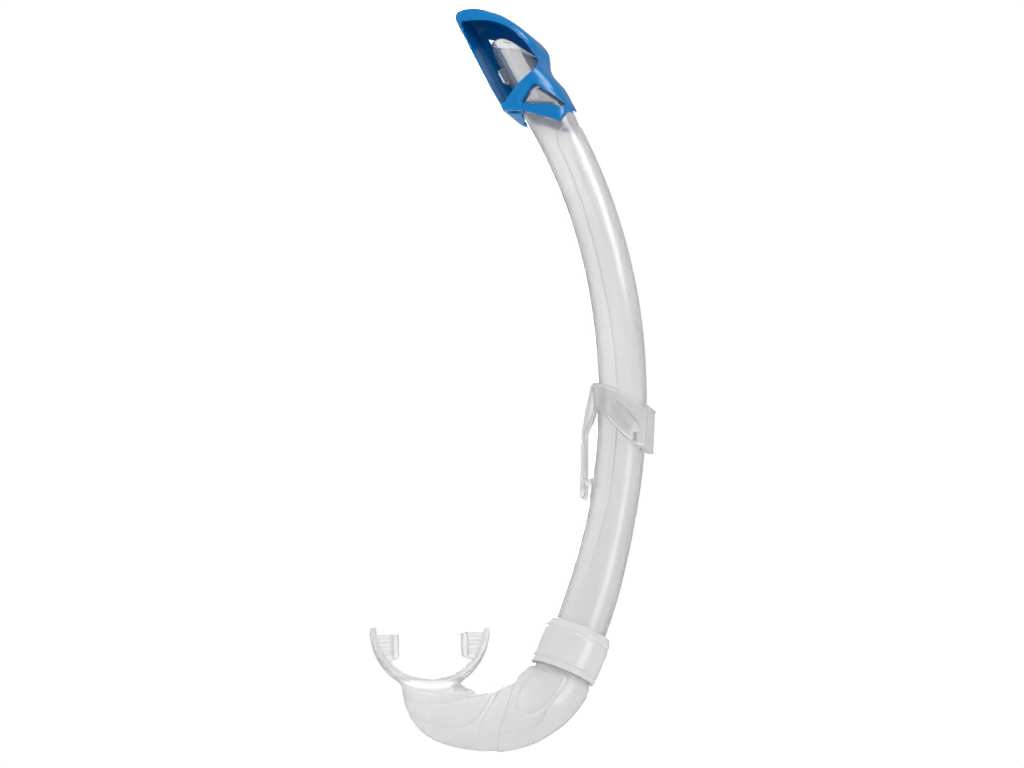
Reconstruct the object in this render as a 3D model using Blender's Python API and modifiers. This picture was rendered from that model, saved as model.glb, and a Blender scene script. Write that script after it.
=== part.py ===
"""A snorkel: curved clear barrel, snap-on splash guard, strap keeper and swivelling mouthpiece.

Metres, +Z up as it is worn. The barrel bends in the plane y = 0, hollow side towards -X.
The origin is the middle of the strap seat, the flat inner face of the keeper's spring arm.
Lengths are written as millimetres times MM.
"""
import bmesh
import bpy
from math import asin, cos, pi, radians, sin, sqrt, tau
from mathutils import Matrix, Vector

MM = 0.001
GAP = 0.3 * MM
WELD = 0.01 * MM

# Barrel: one arc, straight at both ends
BEND_R = 349.5 * MM
SEAT_ANGLE = radians(-4.6)
SEAT_INSET = 20.2 * MM
TOP_ANGLE = radians(27.0)
COLLAR_ANGLE = radians(-24.0)
FLARE_ANGLE = radians(-20.4)
PLAIN_FROM, PLAIN_TO = radians(-12.5), radians(9.0)
TOP_R, MID_R, FLARE_R, SPIGOT_R, NECK_R = 12.75 * MM, 13.4 * MM, 14.4 * MM, 13.0 * MM, 10.1 * MM
BARREL_WALL = 1.6 * MM
SHOULDER_LOW, SHOULDER_HIGH, NECK_END = 24 * MM, 28 * MM, 70 * MM
SPIGOT_TOP, SPIGOT_END = 8 * MM, -12.5 * MM
# Slanted neck mouth and snap lugs in millimetres (e, s) above the arc
NECK_MOUTH = [(-14, 69), (-8, 68), (-2, 66), (4, 60), (11, 45), (30, 45), (30, 90), (-14, 90)]
HOOK_LOW, HOOK_HIGH = Vector((-15.9, -2.6, 43.0)) * MM, Vector((-9.2, 2.6, 51.0)) * MM
LUG_BASE = [(3.6, 24.0), (-4.2, 20.3), (9.8, 11.2)]
LUG_ROOT, LUG_FOOT, LUG_TIP = 6.5, 13.2, (2.6, 15.2, 19.0)
ARC_STEPS = 30
BARREL_SIDES = 28

# Splash guard, measured along the neck (s) and out of the bend (e) from the top of the arc
GUARD_WALL = 2.0 * MM
GUARD_DEEP = 30 * MM
# Hood outline in millimetres: back, half width, nose and back rounding against height s
GUARD_BACK = [(-4, 15.6), (8, 15.8), (18, 16.0), (27, 14.2), (33, 13.2), (37, 13.8), (43, 16.6),
              (48, 16.4), (56, 14.2), (64, 10.6), (72, 6.0), (79, 1.0), (85, -4.2), (89.5, -9.6),
              (92.3, -13.2)]
GUARD_SIDE = [(-4, 15.2), (6, 15.2), (26, 17.0), (80, 17.0), (88, 14.5), (92.3, 9.0)]
GUARD_NOSE = [(-4, -18.5), (84, -18.5), (89.5, -18.0), (92.3, -16.4)]
GUARD_EDGE = [(-4, 12.5), (20, 12.0), (34, 8.0), (60, 5.0), (85, 4.0), (92.3, 1.4)]
GUARD_FRONT_EDGE = 3.5 * MM
# Side outlines in millimetres (e, s): the slanted foot, the big window, the triangular window
GUARD_FOOT = [(-40, 22), (-18.5, 22), (-8.5, 15.5), (6.8, -0.5), (11.5, 2.5), (15.2, 8.2), (40, 8.2),
              (40, -20), (-40, -20)]
GUARD_WINDOW = [(-16.0, 27.5), (-15.8, 55.0), (-14.6, 80.5), (-6.0, 76.5), (1.2, 70.2), (6.8, 61.8),
                (10.6, 50.5), (11.2, 41.0), (8.4, 33.6), (-2.0, 30.2), (-12.0, 27.0)]
GUARD_TRIANGLE = [(4.4, 26.4), (3.0, 26.6), (-6.4, 21.6), (-6.8, 20.4), (12.2, 7.4), (13.0, 8.4)]

# Keeper
BAND_BORE_R = MID_R + GAP
BAND_R = 15.9 * MM
BAND_FRONT = -16.2 * MM
BAND_BACK = 17.6 * MM
BAND_BACK_HALF = 7.0 * MM
BAND_BACK_REACH = 18.9 * MM
BAND_TOP_RISE, BAND_TOP_SLOPE = 1.5 * MM, 0.53
BAND_FOOT_RISE, BAND_FOOT_SWING, BAND_FOOT_SPAN = -19.2 * MM, 12.2 * MM, 18.0 * MM
ARM_HALF = 3.3 * MM
ARM_PIVOT = Vector((3.2 * MM, 0, 34.0 * MM))
PEG_R = 2.4 * MM
PEG_LENGTH = 3.8 * MM
PEG_Z = -20.5 * MM
FORK_HALF, FORK_TOP = 0.7 * MM, -25.4 * MM
# Spring arm in millimetres (x, z): the face towards the barrel, then the outside
ARM_INNER = [(4.6, 34.5), (4.6, 20.5), (3.4, 16.5), (1.4, 12.0), (0.0, 8.0), (0.0, -23.0), (-0.6, -29.0)]
ARM_OUTER = [(-2.8, -29.0), (-2.4, -22.0), (-2.3, 0.0), (-1.6, 12.0), (-0.2, 21.0), (1.2, 29.0),
             (2.0, 33.6), (2.8, 35.2), (3.9, 35.4)]

# Mouthpiece, laid out round the collar's centre before it is turned
SWIVEL_REST = radians(25.0)
SOCKET_R = 15.5 * MM
SOCKET_TOP, SOCKET_FOOT = 7.4 * MM, -13.6 * MM
ELBOW_WALL = 2.1 * MM
ELBOW_SIDES = 24
MOUTH_HALF, MOUTH_DEPTH = 15.6 * MM, 12.4 * MM
MOUTH_X = -77.9 * MM
ARCH_Z = 14.0 * MM
ARCH_HALF, ARCH_DEEP = 30.9 * MM, 32.0 * MM
FLANGE_THICK = 2.6 * MM
FLANGE_HALF_MID, FLANGE_HALF_END = 13.5 * MM, 9.5 * MM
TAB_THICK = 3.4 * MM
TAB_INNER, TAB_LOW, TAB_HIGH, TAB_CORNER = 17.4 * MM, -3.8 * MM, 12.6 * MM, (11.6 * MM, -0.4 * MM)
LUG_SPAN, LUG_HALF, LUG_LOW, LUG_HIGH = (17.2 * MM, 20.4 * MM), 6.0 * MM, -1.2 * MM, 12.4 * MM
LUG_EDGE = 1.2 * MM
HOLE_HALF_WIDE, HOLE_HALF_HIGH = 13.2 * MM, 9.9 * MM
# Collar in millimetres (radius, height)
COLLAR_OUTER = [(17.0, 13.3), (18.4, 9.6), (18.8, 0.0), (18.6, -9.0), (18.2, -13.3)]
COLLAR_INNER = [(15.9, -13.3), (15.9, 10.2), (15.2, 10.8), (15.2, 13.3)]
# Elbow in millimetres: middle x, middle z, half width, half depth, from collar to mouth
ELBOW_COURSE = [
    (-5.8, -14.0, 16.9, 16.6), (-7.6, -17.4, 17.4, 16.6), (-11.6, -21.4, 18.0, 16.8),
    (-17.0, -26.6, 18.0, 17.0), (-23.0, -31.0, 17.5, 16.6), (-29.6, -34.4, 17.4, 16.0),
    (-38.0, -36.8, 17.8, 15.6), (-46.5, -37.4, 16.9, 15.2), (-55.0, -36.4, 16.3, 14.8),
    (-63.4, -34.4, 16.4, 14.2), (-70.0, -31.0, 16.8, 13.6), (-74.2, -27.0, 16.4, 13.0),
]

ARC_REACH = BEND_R - SEAT_INSET
ARC_CENTRE = Vector((-ARC_REACH * cos(SEAT_ANGLE), 0, -ARC_REACH * sin(SEAT_ANGLE)))


def clear_scene():
    for thing in list(bpy.data.objects):
        bpy.data.objects.remove(thing)


def new_collection(name):
    group = bpy.data.collections.new(name)
    bpy.context.scene.collection.children.link(group)
    return group


def new_material(name, colour, roughness, transmission=0.0):
    material = bpy.data.materials.new(name)
    material.use_nodes = True
    shader = material.node_tree.nodes["Principled BSDF"]
    shader.inputs["Base Color"].default_value = (*colour, 1.0)
    shader.inputs["Roughness"].default_value = roughness
    shader.inputs["Metallic"].default_value = 0.0
    shader.inputs["Transmission Weight"].default_value = transmission
    return material


clear_scene()
PARTS = new_collection("snorkel_tube")
CUTTERS = new_collection("cutters")
BLUE = new_material("blue_plastic", (0.004, 0.19, 0.62), 0.22)
CLEAR = new_material("clear_tube", (0.83, 0.85, 0.86), 0.35, 0.6)
GLASSY = new_material("clear_keeper", (0.86, 0.88, 0.88), 0.12, 0.8)
SILICONE = new_material("clear_silicone", (0.88, 0.89, 0.89), 0.42, 0.5)
MILKY = new_material("milky_silicone", (0.86, 0.87, 0.87), 0.5, 0.2)


# Frames

def turned_frame(place, angle):
    """Frame at a place: local X out of the bend, Y across, Z up the barrel at that angle."""
    return Matrix.Translation(place) @ Matrix.Rotation(-angle, 4, "Y")


def on_arc(angle, out=0.0, side=0.0):
    """Place relative to the bend's centre, out from the barrel's centreline."""
    return Vector(((BEND_R + out) * cos(angle), side, (BEND_R + out) * sin(angle)))


def new_empty(name, matrix, parent=None):
    empty = bpy.data.objects.new(name, None)
    empty.empty_display_size = 0.02
    PARTS.objects.link(empty)
    return put(empty, matrix, parent)


def put(thing, matrix, parent=None):
    """Place an object in the world, then hang it on its parent."""
    if parent:
        bpy.context.view_layer.update()
        thing.parent = parent
        thing.matrix_basis = parent.matrix_world.inverted() @ matrix
    else:
        thing.matrix_basis = matrix
    return thing


# Mesh building

def object_from(bm, name, group=PARTS, material=None):
    bmesh.ops.recalc_face_normals(bm, faces=bm.faces)
    mesh = bpy.data.meshes.new(name)
    bm.to_mesh(mesh)
    bm.free()
    thing = bpy.data.objects.new(name, mesh)
    group.objects.link(thing)
    if material:
        mesh.materials.append(material)
        mesh.shade_smooth()
        mesh.set_sharp_from_angle(angle=radians(35))
    if group is CUTTERS:
        thing.hide_render = True
        thing.display_type = "WIRE"
    return thing


def loft(rings, close_start=False, close_end=False, join=False):
    """Skin rings of equal point count. join also skins the last ring back to the first."""
    bm = bmesh.new()
    rows = [[bm.verts.new(point) for point in ring] for ring in rings]
    count = len(rings[0])
    pairs = list(zip(rows, rows[1:]))
    if join:
        pairs.append((rows[-1], rows[0]))
    for low, high in pairs:
        for i in range(count):
            j = (i + 1) % count
            bm.faces.new((low[i], low[j], high[j], high[i]))
    if close_start:
        bm.faces.new(rows[0])
    if close_end:
        bm.faces.new(rows[-1])
    return bm


def prism(outline, half, name, group=CUTTERS, material=None):
    """Extrude an outline of (x, z) points by half its depth each way along Y."""
    rings = [[Vector((x, side, z)) for x, z in outline] for side in (-half, half)]
    return object_from(loft(rings, True, True), name, group, material)


def in_metres(outline):
    return [(x * MM, z * MM) for x, z in outline]


def smooth_loop(points, steps):
    """Closed Catmull-Rom curve through the points."""
    result = []
    count = len(points)
    for i in range(count):
        a, b, c, d = (Vector(points[(i + k) % count]) for k in (-1, 0, 1, 2))
        for k in range(steps):
            t = k / steps
            result.append(tuple(0.5 * (2 * b + (c - a) * t + (2 * a - 5 * b + 4 * c - d) * t * t
                                       + (3 * b - a - 3 * c + d) * t ** 3)))
    return result


def curve_value(table, at):
    """Smoothly interpolate a table of (position, value) rows."""
    if at <= table[0][0]:
        return table[0][1]
    for (low, first), (high, last) in zip(table, table[1:]):
        if at <= high:
            t = (at - low) / (high - low)
            return first + (last - first) * t * t * (3 - 2 * t)
    return table[-1][1]


def circle(radius, sides, turn=0.0):
    return [(radius * cos(tau * i / sides + turn), radius * sin(tau * i / sides + turn))
            for i in range(sides)]


def add_solidify(thing, thickness):
    shell = thing.modifiers.new("wall", "SOLIDIFY")
    shell.thickness = thickness
    shell.offset = -1.0
    shell.use_even_offset = True


def add_boolean(thing, tool, operation="DIFFERENCE"):
    cut = thing.modifiers.new(tool.name, "BOOLEAN")
    cut.operation = operation
    cut.object = tool
    cut.solver = "EXACT"


def add_bevel(thing, width, segments=2, angle=30):
    edge = thing.modifiers.new("edges", "BEVEL")
    edge.width = width
    edge.segments = segments
    edge.angle_limit = radians(angle)


def tool_box(name, low, high):
    """A cutter or an added lump from its lowest to its highest corner."""
    bm = bmesh.new()
    bmesh.ops.create_cube(bm, size=1.0)
    low, high = Vector(low), Vector(high)
    for vert in bm.verts:
        vert.co = Vector([(low[k] + high[k]) / 2 + vert.co[k] * (high[k] - low[k]) for k in range(3)])
    return object_from(bm, name, CUTTERS)


# Barrel

def barrel_radius(angle):
    table = [(FLARE_ANGLE, FLARE_R), (PLAIN_FROM, MID_R), (PLAIN_TO, MID_R), (TOP_ANGLE, TOP_R)]
    return curve_value(table, angle)


def barrel_course():
    """Centreline points with their radii, from the spigot's mouth to the end of the neck."""
    foot, top = on_arc(COLLAR_ANGLE), on_arc(TOP_ANGLE)
    down = Vector((-sin(COLLAR_ANGLE), 0, cos(COLLAR_ANGLE)))
    up = Vector((-sin(TOP_ANGLE), 0, cos(TOP_ANGLE)))
    course = [(foot + down * SPIGOT_END, SPIGOT_R), (foot, SPIGOT_R)]
    course.append((foot + down * SPIGOT_TOP, SPIGOT_R))
    course.append((foot + down * (SPIGOT_TOP + MM), FLARE_R))
    first = COLLAR_ANGLE + (SPIGOT_TOP + 3 * MM) / BEND_R
    for i in range(ARC_STEPS + 1):
        angle = first + (TOP_ANGLE - first) * i / ARC_STEPS
        course.append((on_arc(angle), barrel_radius(angle)))
    course.append((top + up * SHOULDER_LOW, TOP_R))
    course.append((top + up * SHOULDER_HIGH, NECK_R))
    course.append((top + up * NECK_END, NECK_R))
    return course


def make_barrel(parent):
    curve = bpy.data.curves.new("barrel_course", "CURVE")
    curve.dimensions = "3D"
    curve.bevel_depth = 1.0
    curve.bevel_resolution = BARREL_SIDES // 4 - 1
    curve.use_fill_caps = False
    spline = curve.splines.new("POLY")
    course = barrel_course()
    spline.points.add(len(course) - 1)
    for point, (place, radius) in zip(spline.points, course):
        point.co = (*place, 1.0)
        point.radius = radius
    guide = bpy.data.objects.new("barrel_course", curve)
    PARTS.objects.link(guide)
    graph = bpy.context.evaluated_depsgraph_get()
    mesh = bpy.data.meshes.new_from_object(guide.evaluated_get(graph))
    bpy.data.objects.remove(guide)
    bm = bmesh.new()
    bm.from_mesh(mesh)
    bmesh.ops.remove_doubles(bm, verts=bm.verts, dist=WELD)
    barrel = put(object_from(bm, "barrel", PARTS, CLEAR), Matrix.Translation(ARC_CENTRE), parent)
    add_solidify(barrel, BARREL_WALL)
    cap = turned_frame(ARC_CENTRE + on_arc(TOP_ANGLE), TOP_ANGLE)
    slice_off = prism(in_metres(NECK_MOUTH), GUARD_DEEP, "neck_mouth_cut")
    add_boolean(barrel, put(slice_off, cap))
    hook = tool_box("front_hook", HOOK_LOW, HOOK_HIGH)
    add_boolean(barrel, put(hook, cap), "UNION")
    for side in (-1, 1):
        add_boolean(barrel, put(snap_lug(side), cap), "UNION")
    return barrel


def snap_lug(side):
    """Three-sided pyramid that stands in the guard's triangular window."""
    corners = [(x, side * reach, z) for x, z in LUG_BASE for reach in (LUG_ROOT, LUG_FOOT)]
    corners.append((LUG_TIP[0], side * LUG_TIP[1], LUG_TIP[2]))
    bm = bmesh.new()
    for corner in corners:
        bm.verts.new(Vector(corner) * MM)
    bmesh.ops.convex_hull(bm, input=bm.verts)
    return object_from(bm, f"snap_lug_{'near' if side < 0 else 'far'}", CUTTERS)


# Splash guard

def guard_section(s):
    """Closed (e, y) loop of the hood at a height: flat front, rounder towards the back."""
    front, back = curve_value(GUARD_NOSE, s) * MM, curve_value(GUARD_BACK, s) * MM
    half, round_back = curve_value(GUARD_SIDE, s) * MM, curve_value(GUARD_EDGE, s) * MM
    round_front = min(GUARD_FRONT_EDGE, (back - front) * 0.4)
    round_back = min(round_back, (back - front) * 0.5, half * 0.95)
    corners = [(back - round_back, half - round_back, round_back, 0),
               (front + round_front, half - round_front, round_front, 1),
               (front + round_front, round_front - half, round_front, 2),
               (back - round_back, round_back - half, round_back, 3)]
    loop = []
    for e, y, radius, quarter in corners:
        for k in range(6):
            turn = (quarter + k / 5) * pi / 2
            loop.append((e + radius * cos(turn), y + radius * sin(turn)))
    return loop


def make_guard(parent):
    stations = [-4, 4, 12, 20, 26, 30, 34, 38, 42, 46, 51, 57, 63, 69, 75, 81, 86, 89.5, 91.4, 92.3]
    rings = [[Vector((e, y, s * MM)) for e, y in guard_section(s)] for s in stations]
    guard = object_from(loft(rings, close_end=True), "splash_guard", PARTS, BLUE)
    frame = turned_frame(ARC_CENTRE + on_arc(TOP_ANGLE), TOP_ANGLE)
    put(guard, frame, parent)
    add_solidify(guard, GUARD_WALL)
    outlines = (("foot", GUARD_FOOT), ("window", smooth_loop(GUARD_WINDOW, 2)), ("triangle", GUARD_TRIANGLE))
    for name, outline in outlines:
        tool = prism(in_metres(outline), GUARD_DEEP, f"guard_{name}_cut")
        add_boolean(guard, put(tool, frame))
    return guard


# Keeper

def band_top(out):
    return BAND_TOP_RISE - BAND_TOP_SLOPE * out


def band_bottom(out):
    share = max(-1.0, min(1.0, out / BAND_FOOT_SPAN))
    return BAND_FOOT_RISE - BAND_FOOT_SWING * sin(pi / 2 * share)


def band_outline(sides):
    """Outer (out, y) loop: a round sleeve with a small flat in front and a square back plate."""
    loop = []
    for i in range(sides):
        turn = tau * (i + 0.5) / sides
        reach = BAND_R
        if cos(turn) < 0:
            reach = min(max(BAND_R, BAND_FRONT / cos(turn)), BAND_R * 1.03)
        else:
            plate = min(BAND_BACK / cos(turn), BAND_BACK_REACH)
            corner = BAND_BACK_HALF / BAND_BACK
            slope = abs(sin(turn)) / cos(turn)
            if slope > corner:
                fall = min(1.0, (slope - corner) / 0.9)
                plate += (BAND_R - plate) * fall
            reach = max(BAND_R, plate)
        loop.append((reach * cos(turn), reach * sin(turn)))
    return loop


def make_keeper_band():
    sides, levels = 32, 6
    outer = band_outline(sides)
    inner = circle(BAND_BORE_R, sides, pi / sides)

    def ring(loop, share):
        points = []
        for out, side in loop:
            rise = band_bottom(out) + (band_top(out) - band_bottom(out)) * share
            points.append(on_arc(rise / BEND_R, out, side))
        return points

    rings = [ring(outer, k / levels) for k in range(levels + 1)]
    rings += [ring(inner, 1 - k / levels) for k in range(levels + 1)]
    band = object_from(loft(rings, join=True), "keeper_band", PARTS, GLASSY)
    return put(band, Matrix.Translation(ARC_CENTRE))


def make_keeper_arm(pivot):
    """Spring arm: a thick root beside the band, a flat strap seat and a forked tip with a peg."""
    arm = prism(in_metres(ARM_INNER + ARM_OUTER), ARM_HALF, "keeper_arm", PARTS, GLASSY)
    for vert in arm.data.vertices:
        vert.co -= ARM_PIVOT
    put(arm, Matrix.Translation(ARM_PIVOT), pivot)
    bm = bmesh.new()
    bmesh.ops.create_cone(bm, cap_ends=True, segments=14, radius1=PEG_R, radius2=PEG_R,
                          depth=PEG_LENGTH + MM)
    peg = object_from(bm, "arm_peg", CUTTERS)
    centre = Vector(((PEG_LENGTH - MM) / 2, 0, PEG_Z))
    put(peg, Matrix.Translation(centre) @ Matrix.Rotation(pi / 2, 4, "Y"))
    add_boolean(arm, peg, "UNION")
    fork = tool_box("tip_fork_cut", (-6 * MM, -FORK_HALF, -32 * MM), (3 * MM, FORK_HALF, FORK_TOP))
    add_boolean(arm, fork)
    return arm


# Mouthpiece

def collar_place(height):
    """Point on the collar's axis in the mouthpiece's own layout."""
    return -sin(COLLAR_ANGLE) * height, cos(COLLAR_ANGLE) * height


def make_collar(frame, parent):
    bm = bmesh.new()
    points = [bm.verts.new((x, 0, z)) for x, z in in_metres(COLLAR_OUTER + COLLAR_INNER)]
    for i, point in enumerate(points):
        bm.edges.new((point, points[(i + 1) % len(points)]))
    mesh = bpy.data.meshes.new("mouthpiece_collar")
    bm.to_mesh(mesh)
    bm.free()
    mesh.materials.append(MILKY)
    collar = bpy.data.objects.new("mouthpiece_collar", mesh)
    PARTS.objects.link(collar)
    turn = collar.modifiers.new("turn", "SCREW")
    turn.axis = "Z"
    turn.steps = turn.render_steps = 36
    turn.use_merge_vertices = True
    turn.merge_threshold = WELD
    turn.use_normal_calculate = True
    return put(collar, frame @ Matrix.Rotation(-COLLAR_ANGLE, 4, "Y"), parent)


def arch_height(x, inset):
    """Height of the flange's arch at a place across it; inset grows towards the lips."""
    share = max(-0.97, min(0.97, (x - MOUTH_X) / (ARCH_HALF + inset)))
    return ARCH_Z - (ARCH_DEEP + inset) * sqrt(1 - share * share)


def elbow_ring(x, z, heading, width, depth, sides):
    """Ellipse square to the tube; heading is the tube's direction in the layout plane."""
    across = Vector((heading.y, 0, -heading.x))
    return [Vector((x, 0, z)) + across * width * cos(turn) + Vector((0, depth * sin(turn), 0))
            for turn in (tau * i / sides for i in range(sides))]


def elbow_skin(inset, sides):
    """Rings of the elbow from its socket to the arch, drawn in from the outer surface."""
    down = Vector((sin(COLLAR_ANGLE), -cos(COLLAR_ANGLE)))
    rings = []
    for height in (SOCKET_TOP, 0.0, SOCKET_FOOT):
        x, z = collar_place(height)
        rings.append(elbow_ring(x, z, down, SOCKET_R - inset, SOCKET_R - inset, sides))
    course = [tuple(value * MM for value in row) for row in ELBOW_COURSE]
    for i, (x, z, width, depth) in enumerate(course):
        before, after = course[max(i - 1, 0)], course[min(i + 1, len(course) - 1)]
        heading = Vector((after[0] - before[0], after[1] - before[1])).normalized()
        if i == 0:
            heading = down
        rings.append(elbow_ring(x, z, heading, width - inset, depth - inset, sides))
    last = []
    for i in range(sides):
        turn = tau * i / sides
        x = MOUTH_X + (MOUTH_HALF - inset) * cos(turn)
        y = (MOUTH_DEPTH - inset) * sin(turn)
        last.append(Vector((x, y, arch_height(x, FLANGE_THICK / 2) - GAP)))
    return rings + [last]


def make_elbow(frame, parent):
    rings = elbow_skin(0.0, ELBOW_SIDES) + elbow_skin(ELBOW_WALL, ELBOW_SIDES)[::-1]
    elbow = object_from(loft(rings, join=True), "mouthpiece_elbow", PARTS, SILICONE)
    return put(elbow, frame, parent)


def make_flange(frame, parent):
    """Curved shield that sits between lips and gums, with the breathing hole in its middle."""
    columns, rows = 28, 6
    bm = bmesh.new()
    grid = []
    for i in range(columns + 1):
        turn = pi * i / columns
        share = abs(cos(turn))
        half = FLANGE_HALF_MID + (FLANGE_HALF_END - FLANGE_HALF_MID) * share ** 3
        x = MOUTH_X + ARCH_HALF * cos(turn)
        z = ARCH_Z - ARCH_DEEP * sin(turn)
        grid.append([bm.verts.new((x, half * (2 * j / rows - 1), z)) for j in range(rows + 1)])
    for first, second in zip(grid, grid[1:]):
        for j in range(rows):
            bm.faces.new((first[j], first[j + 1], second[j + 1], second[j]))
    flange = object_from(bm, "mouth_flange", PARTS, SILICONE)
    shell = flange.modifiers.new("wall", "SOLIDIFY")
    shell.thickness = FLANGE_THICK
    shell.offset = 0.0
    put(flange, frame, parent)
    hole = [(MOUTH_X + HOLE_HALF_WIDE * cos(turn), HOLE_HALF_HIGH * sin(turn))
            for turn in (tau * i / 24 for i in range(24))]
    rings = [[Vector((x, y, z * MM)) for x, y in hole] for z in (-26, -8)]
    add_boolean(flange, put(object_from(loft(rings, True, True), "breathing_hole", CUTTERS), frame))
    return flange


def make_bite_tab(name, side, frame, parent):
    """Flat tab held between the teeth, with an upright lug behind them at its inner end."""
    wall = ARCH_HALF - FLANGE_THICK / 2 - GAP
    outline = [(TAB_INNER, z) for z in TAB_CORNER]
    for k in range(5):
        z = TAB_LOW + (TAB_HIGH - TAB_LOW) * k / 4
        drop = (ARCH_Z - z) / (ARCH_DEEP - FLANGE_THICK / 2 - GAP)
        outline.append((wall * cos(asin(min(drop, 1.0))), z))
    outline = [(MOUTH_X + side * x, z) for x, z in outline]
    tab = prism(outline, TAB_THICK / 2, name, PARTS, SILICONE)
    put(tab, frame, parent)
    ends = sorted(MOUTH_X + side * x for x in LUG_SPAN)
    lug = tool_box(f"{name}_lug", (ends[0], -LUG_HALF, LUG_LOW), (ends[1], LUG_HALF, LUG_HIGH))
    add_bevel(lug, LUG_EDGE)
    add_boolean(tab, put(lug, frame), "UNION")
    return tab


def main():
    slide_axis = new_empty("keeper_slide_axis", Matrix.Translation(ARC_CENTRE))
    barrel = make_barrel(slide_axis)
    make_guard(barrel)
    make_keeper_band()
    make_keeper_arm(new_empty("arm_flex_axis", Matrix.Translation(ARM_PIVOT)))
    middle = ARC_CENTRE + on_arc(COLLAR_ANGLE)
    axis = Vector((-sin(COLLAR_ANGLE), 0, cos(COLLAR_ANGLE)))
    swivel = new_empty("mouthpiece_swivel_axis", turned_frame(middle, COLLAR_ANGLE), barrel)
    frame = Matrix.Translation(middle) @ Matrix.Rotation(SWIVEL_REST, 4, axis)
    make_collar(frame, swivel)
    make_elbow(frame, swivel)
    make_flange(frame, swivel)
    make_bite_tab("bite_tab_left", -1, frame, swivel)
    make_bite_tab("bite_tab_right", 1, frame, swivel)
    bpy.context.view_layer.update()


main()
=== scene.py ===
"""Looks for the snorkel: every CAD part is replaced by a finely modelled piece in clear or blue plastic.

Shapes are worked out in millimetres in the local layouts of the cap, the barrel, the collar and the mouthpiece, and
written in metres in the frame.
"""

from math import cos, pi, radians, sin, tau

import bmesh
import bpy
import numpy as np
from mathutils import Matrix, Vector


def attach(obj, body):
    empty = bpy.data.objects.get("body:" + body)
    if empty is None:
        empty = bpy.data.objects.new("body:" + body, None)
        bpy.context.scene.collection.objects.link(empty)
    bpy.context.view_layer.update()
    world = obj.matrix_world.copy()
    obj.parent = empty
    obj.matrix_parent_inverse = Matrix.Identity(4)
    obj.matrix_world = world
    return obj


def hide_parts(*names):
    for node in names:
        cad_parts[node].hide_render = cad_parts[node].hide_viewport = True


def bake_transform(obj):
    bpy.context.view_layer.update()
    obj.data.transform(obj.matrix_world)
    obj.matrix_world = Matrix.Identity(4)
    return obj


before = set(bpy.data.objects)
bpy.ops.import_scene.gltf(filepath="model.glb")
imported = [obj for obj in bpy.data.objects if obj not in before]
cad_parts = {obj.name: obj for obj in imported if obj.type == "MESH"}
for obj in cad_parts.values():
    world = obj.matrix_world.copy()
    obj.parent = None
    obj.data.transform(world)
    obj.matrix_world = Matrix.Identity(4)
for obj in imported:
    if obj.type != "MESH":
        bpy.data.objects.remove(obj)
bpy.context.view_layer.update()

MM = 0.001

# Layout shared with the CAD model, in millimetres
BEND_R = 349.5
SEAT_ANGLE, SEAT_INSET = radians(-4.6), 20.2
TOP_ANGLE, COLLAR_ANGLE = radians(27.0), radians(-24.0)
SWIVEL_REST = radians(25.0)
REACH = BEND_R - SEAT_INSET
ARC = np.array([-REACH * cos(SEAT_ANGLE), 0.0, -REACH * sin(SEAT_ANGLE)])
MOUTH_X, ARCH_Z, ARCH_HALF, ARCH_DEEP = -77.1, 14.0, 31.6, 32.0
BARREL_WALL, GUARD_WALL, SILICONE_WALL = 1.6, 2.0, 2.2
NECK_R = 10.1
NECK_FROM = 24

CAP_AXES = np.array([[cos(TOP_ANGLE), 0, sin(TOP_ANGLE)], [0, 1, 0], [-sin(TOP_ANGLE), 0, cos(TOP_ANGLE)]])
CAP_ORIGIN = ARC + BEND_R * CAP_AXES[0]
COLLAR_OUT = np.array([cos(COLLAR_ANGLE), 0, sin(COLLAR_ANGLE)])
COLLAR_UP = np.array([-sin(COLLAR_ANGLE), 0, cos(COLLAR_ANGLE)])
COLLAR_ORIGIN = ARC + BEND_R * COLLAR_OUT
COLLAR_AXES = np.array([COLLAR_OUT, [0, 1, 0], COLLAR_UP])
MOUTH_AXES = np.array(Matrix.Rotation(SWIVEL_REST, 3, Vector(COLLAR_UP))).T


# Curves

def curve(rows):
    """Smooth function through rows of (position, value)."""
    xs, ys = np.array(rows, float).T
    slopes = np.gradient(ys, xs)
    fine = np.linspace(xs[0], xs[-1], 800)
    k = np.clip(np.searchsorted(xs, fine) - 1, 0, len(xs) - 2)
    span = xs[k + 1] - xs[k]
    t = (fine - xs[k]) / span
    value = (2 * t ** 3 - 3 * t ** 2 + 1) * ys[k] + (t ** 3 - 2 * t ** 2 + t) * span * slopes[k]
    value += (-2 * t ** 3 + 3 * t ** 2) * ys[k + 1] + (t ** 3 - t ** 2) * span * slopes[k + 1]
    return lambda at: np.interp(at, fine, value)


def ramp(at, low, high):
    """Smooth rise from 0 at low to 1 at high; high may be the smaller."""
    t = np.clip((at - low) / (high - low), 0, 1)
    return t * t * (3 - 2 * t)


def smooth_line(points, steps, closed=False):
    """Catmull-Rom line through two- or three-number points."""
    points = [np.array(p, float) for p in points]
    count = len(points)
    result = []
    for i in range(count if closed else count - 1):
        a, b, c, d = (points[(i + k) % count] if closed else points[min(max(i + k, 0), count - 1)]
                      for k in (-1, 0, 1, 2))
        for t in np.arange(steps) / steps:
            result.append(0.5 * (2 * b + (c - a) * t + (2 * a - 5 * b + 4 * c - d) * t * t
                                 + (3 * b - a - 3 * c + d) * t ** 3))
    if not closed:
        result.append(points[-1])
    return np.array(result)


# Distance fields: negative inside, in millimetres

def join(a, b, soft):
    """Both shapes, with a fillet."""
    h = np.maximum(soft - np.abs(a - b), 0) / soft
    return np.minimum(a, b) - h * h * soft / 4


def meet(a, b, soft):
    """What is inside both shapes, with a softened edge."""
    h = np.maximum(soft - np.abs(a - b), 0) / soft
    return np.maximum(a, b) + h * h * soft / 4


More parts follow.
